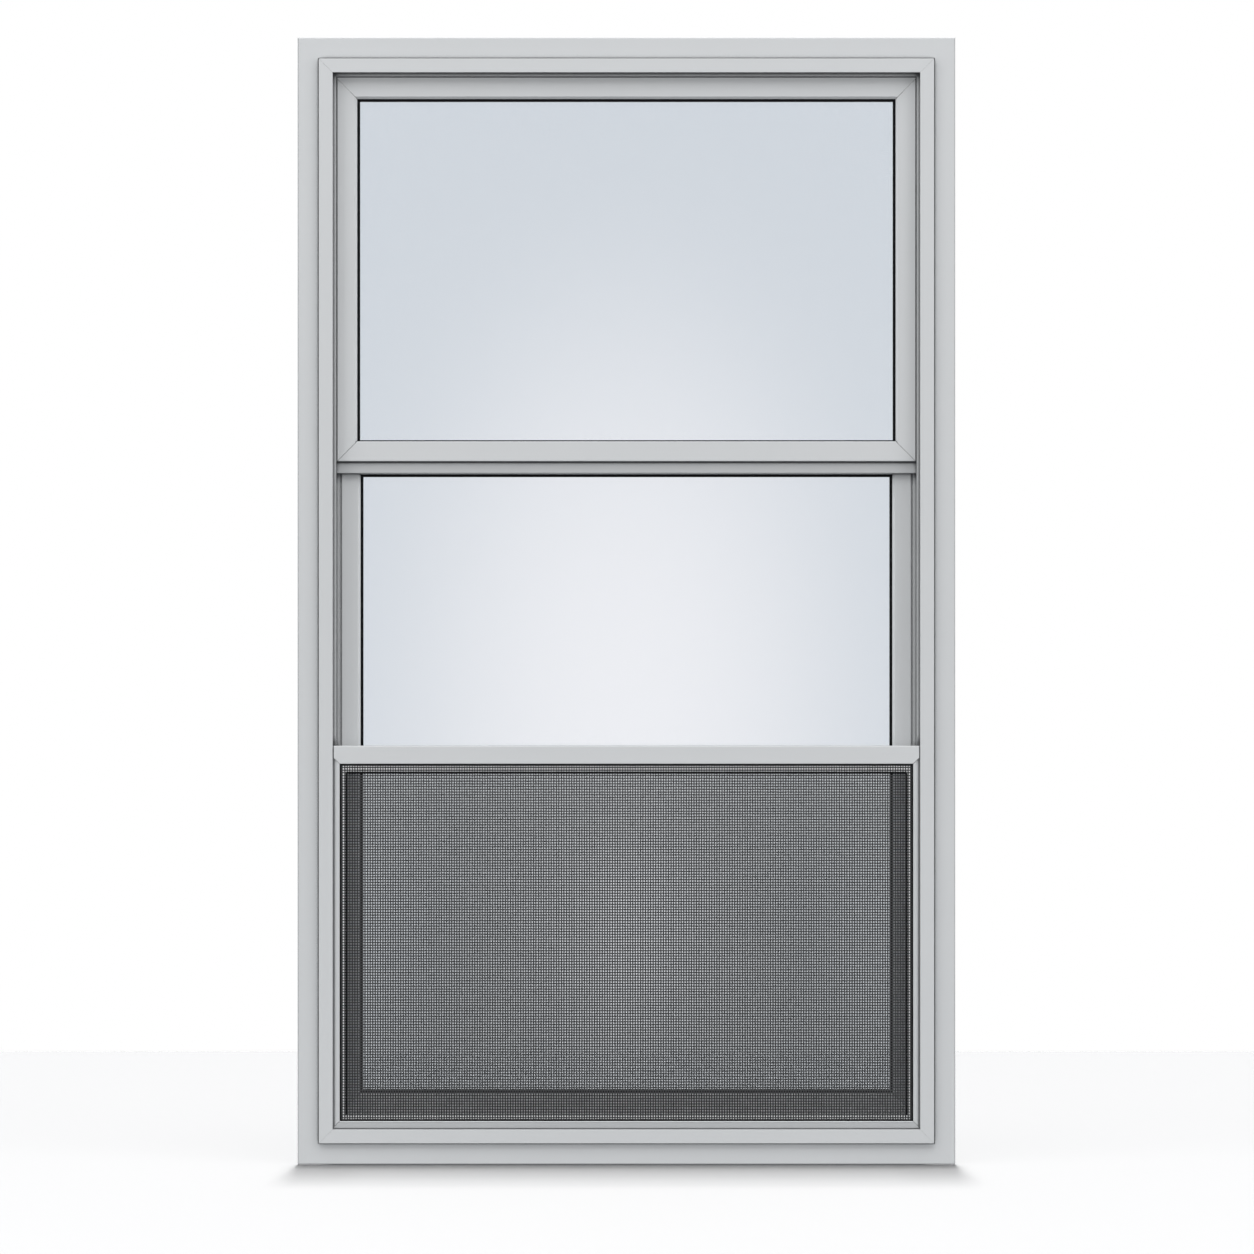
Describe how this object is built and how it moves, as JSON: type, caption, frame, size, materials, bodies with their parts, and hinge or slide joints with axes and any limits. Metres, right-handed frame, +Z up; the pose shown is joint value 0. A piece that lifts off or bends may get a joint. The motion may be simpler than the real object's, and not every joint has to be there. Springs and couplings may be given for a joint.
{
  "type": "storm window",
  "caption": "Storm window with a flanged aluminium frame, an upper glass sash on a meeting bar, a taller lower glass sash behind it and a half insect screen in the outer track.",
  "frame": {"origin": "On the back face of the sill's mounting flange, at mid-width and half way up the flange strip, in the plane that lies on the wall or casing.", "axes": "+X to the right as seen from outside, +Y from outside to the room, square to the wall, +Z up."},
  "size_m": [0.813, 0.0382, 1.393],
  "materials": {
    "frame_metal": "satin",
    "sash_metal": "satin",
    "screen_metal": "satin",
    "black_vinyl": "matte",
    "clear_glass": "polished",
    "screen_cloth": "matte",
    "wool_pile": "matte",
    "latch_plastic": "matte"
  },
  "bodies": {
    "root": {"head": "frame_metal", "sill": "frame_metal", "left_jamb": "frame_metal", "right_jamb": "frame_metal", "meeting_bar": "frame_metal", "upper_sash_top_rail": "sash_metal", "upper_sash_bottom_rail": "sash_metal", "upper_sash_left_stile": "sash_metal", "upper_sash_right_stile": "sash_metal", "upper_sash_gasket": "black_vinyl", "upper_sash_glass": "clear_glass", "lower_sash_top_rail": "sash_metal", "lower_sash_bottom_rail": "sash_metal", "lower_sash_left_stile": "sash_metal", "lower_sash_right_stile": "sash_metal", "lower_sash_gasket": "black_vinyl", "lower_sash_glass": "clear_glass", "screen_top_rail": "screen_metal", "screen_bottom_rail": "screen_metal", "screen_left_stile": "screen_metal", "screen_right_stile": "screen_metal", "screen_spline": "black_vinyl", "screen_mesh": "screen_cloth", "upper_track_pile": "wool_pile", "lower_track_pile": "wool_pile", "meeting_bar_pile": "wool_pile", "left_latch": "latch_plastic", "right_latch": "latch_plastic"}
  },
  "joints": []
}
